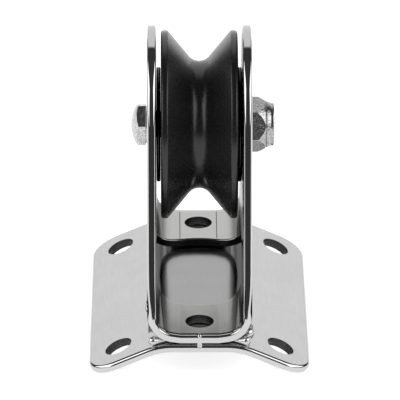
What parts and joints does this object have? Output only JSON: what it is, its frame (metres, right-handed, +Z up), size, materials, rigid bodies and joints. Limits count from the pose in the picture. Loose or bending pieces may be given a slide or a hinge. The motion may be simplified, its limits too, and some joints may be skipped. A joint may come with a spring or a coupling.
{
  "type": "bow roller",
  "caption": "Boat bow roller: a V-grooved black roller on a bolt between the arms of a polished U bracket, welded on a crowned base plate with sloping wings.",
  "frame": {"origin": "under the middle of the part, on the level of the wing tips it stands on", "axes": "+X along the bolt towards the nut, +Y towards the rear along the keel, +Z up"},
  "size_m": [0.0798, 0.1072, 0.1128],
  "materials": {
    "polished_stainless": "mirror polished stainless sheet with buffed round edges",
    "fastener_steel": "plain stainless, faintly satin",
    "weld_metal": "buffed weld bead",
    "roller_black": "satin black turned plastic",
    "washer_black": "satin black plastic",
    "natural_nylon": "natural nylon"
  },
  "bodies": {
    "bracket": {"u_bracket": "polished_stainless", "base_plate": "polished_stainless", "axle_bolt": "fastener_steel", "lock_nut": "fastener_steel", "nut_insert": "natural_nylon", "weld_front_centre": "weld_metal", "weld_front_left": "weld_metal", "weld_front_right": "weld_metal", "weld_rear_centre": "weld_metal", "weld_rear_left": "weld_metal", "weld_rear_right": "weld_metal", "weld_side_left": "weld_metal", "weld_side_right": "weld_metal"},
    "roller": {"roller": "roller_black"},
    "left_washer": {"washer_left": "washer_black"},
    "right_washer": {"washer_right": "washer_black"}
  },
  "joints": [
    {"name": "roller_spin", "type": "hinge", "parent": "bracket", "child": "roller", "pos_m": [0, 0, 0.07644], "axis": [1, 0, 0], "continuous": true},
    {"name": "left_washer_spin", "type": "hinge", "parent": "bracket", "child": "left_washer", "pos_m": [-0.01465, 0, 0.07644], "axis": [1, 0, 0], "continuous": true},
    {"name": "right_washer_spin", "type": "hinge", "parent": "bracket", "child": "right_washer", "pos_m": [0.01465, 0, 0.07644], "axis": [1, 0, 0], "continuous": true}
  ]
}
